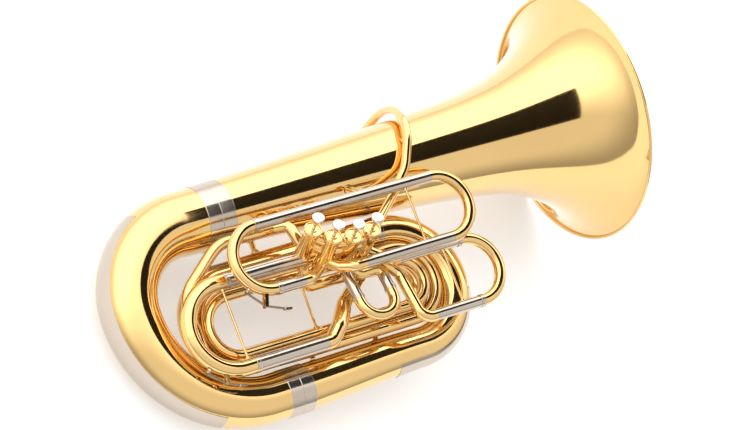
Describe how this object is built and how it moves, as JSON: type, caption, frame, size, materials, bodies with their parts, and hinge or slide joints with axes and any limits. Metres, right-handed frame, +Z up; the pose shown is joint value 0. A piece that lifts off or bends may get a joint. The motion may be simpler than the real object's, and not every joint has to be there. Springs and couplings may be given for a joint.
{
  "type": "tuba",
  "caption": "Upright brass tuba with front-action piston valves, wide flared bell, large bottom bow with guard plates, nested valve loops, pull slides and water keys.",
  "frame": {"origin": "centre of the bounding box footprint, on the floor the instrument lies on", "axes": "+X towards the bell mouth, +Y from the second branch towards the bell branch, +Z up, out of the valve side"},
  "size_m": [1.0253, 0.5824, 0.4441],
  "materials": {
    "lacquered_brass": "clear-lacquered, mirror gloss",
    "nickel_silver": "polished nickel silver",
    "valve_metal": "lapped, plated",
    "pearl": "gloss pearl white",
    "steel": "polished dark plated",
    "cork": "matte cork"
  },
  "bodies": {
    "horn": {"bell_flare": "lacquered_brass", "bell_rim_wire": "lacquered_brass", "bell_stem": "lacquered_brass", "bell_throat": "lacquered_brass", "body_stays": "lacquered_brass", "bottom_bow": "lacquered_brass", "bow_guard": "nickel_silver", "branch_ferrules": "nickel_silver", "first_bends": "lacquered_brass", "first_sleeves": "nickel_silver", "fourth_branch": "lacquered_brass", "fourth_inner_crook": "lacquered_brass", "fourth_long_loop": "lacquered_brass", "fourth_outer_bend": "lacquered_brass", "fourth_return": "lacquered_brass", "inner_bow": "lacquered_brass", "leadpipe": "lacquered_brass", "loop_stays": "lacquered_brass", "main_sleeves": "nickel_silver", "main_tail": "lacquered_brass", "mouthpiece_receiver": "lacquered_brass", "second_bend": "lacquered_brass", "second_branch": "lacquered_brass", "second_sleeves": "nickel_silver", "small_top_bow": "lacquered_brass", "third_bends": "lacquered_brass", "third_branch": "lacquered_brass", "third_tubes": "nickel_silver", "top_bow": "lacquered_brass", "top_bow_guard": "nickel_silver", "valve_1_casing": "lacquered_brass", "valve_2_casing": "lacquered_brass", "valve_3_casing": "lacquered_brass", "valve_4_casing": "lacquered_brass", "valve_bottom_caps": "lacquered_brass", "valve_links": "lacquered_brass", "valve_top_caps": "lacquered_brass"},
    "main_slide": {"main_slide_crook": "lacquered_brass", "main_slide_legs": "nickel_silver", "main_slide_brace": "lacquered_brass", "main_key_saddle": "steel"},
    "main_key": {"main_key_lever": "steel", "main_key_cork": "cork"},
    "third_slide": {"third_slide_crook": "lacquered_brass", "third_slide_legs": "nickel_silver", "third_key_saddle": "steel"},
    "third_key": {"third_key_lever": "steel", "third_key_cork": "cork"},
    "first_slide": {"first_slide_crook": "lacquered_brass", "first_slide_legs": "nickel_silver"},
    "second_slide": {"second_slide_crook": "lacquered_brass", "second_slide_legs": "nickel_silver"},
    "valve_1": {"valve_1_piston": "valve_metal", "valve_1_button": "pearl"},
    "valve_2": {"valve_2_piston": "valve_metal", "valve_2_button": "pearl"},
    "valve_3": {"valve_3_piston": "valve_metal", "valve_3_button": "pearl"},
    "valve_4": {"valve_4_piston": "valve_metal", "valve_4_button": "pearl"}
  },
  "joints": [
    {"name": "main_slide_pull", "type": "slide", "parent": "horn", "child": "main_slide", "axis": [-0.9857, 0, -0.1685], "range_m": [0, 0.03]},
    {"name": "third_slide_pull", "type": "slide", "parent": "horn", "child": "third_slide", "axis": [-0.9857, 0, -0.1685], "range_m": [0, 0.035]},
    {"name": "first_slide_pull", "type": "slide", "parent": "horn", "child": "first_slide", "axis": [0.9857, 0, 0.1685], "range_m": [0, 0.06]},
    {"name": "second_slide_pull", "type": "slide", "parent": "horn", "child": "second_slide", "axis": [-0.0182, -0.9942, 0.1062], "range_m": [0, 0.015]},
    {"name": "main_key_hinge", "type": "hinge", "parent": "main_slide", "child": "main_key", "pos_m": [-0.38604, -0.219, 0.11191], "axis": [-0.1678, -0.0893, 0.9818], "range_deg": [0, 14], "stiffness_Nm_per_rad": 0.06, "springref_deg": -17.19},
    {"name": "third_key_hinge", "type": "hinge", "parent": "third_slide", "child": "third_key", "pos_m": [-0.30399, -0.12922, 0.17791], "axis": [-0.1678, -0.0893, 0.9818], "range_deg": [0, 16], "stiffness_Nm_per_rad": 0.06, "springref_deg": -17.19},
    {"name": "valve_1_press", "type": "slide", "parent": "horn", "child": "valve_1", "axis": [0.1628, -0.2567, -0.9527], "range_m": [0, 0.019], "stiffness_N_per_m": 250, "springref_m": -0.01},
    {"name": "valve_2_press", "type": "slide", "parent": "horn", "child": "valve_2", "axis": [0.1628, -0.2567, -0.9527], "range_m": [0, 0.019], "stiffness_N_per_m": 250, "springref_m": -0.01},
    {"name": "valve_3_press", "type": "slide", "parent": "horn", "child": "valve_3", "axis": [0.1628, -0.2567, -0.9527], "range_m": [0, 0.019], "stiffness_N_per_m": 250, "springref_m": -0.01},
    {"name": "valve_4_press", "type": "slide", "parent": "horn", "child": "valve_4", "axis": [0.1628, -0.2567, -0.9527], "range_m": [0, 0.019], "stiffness_N_per_m": 250, "springref_m": -0.01}
  ]
}
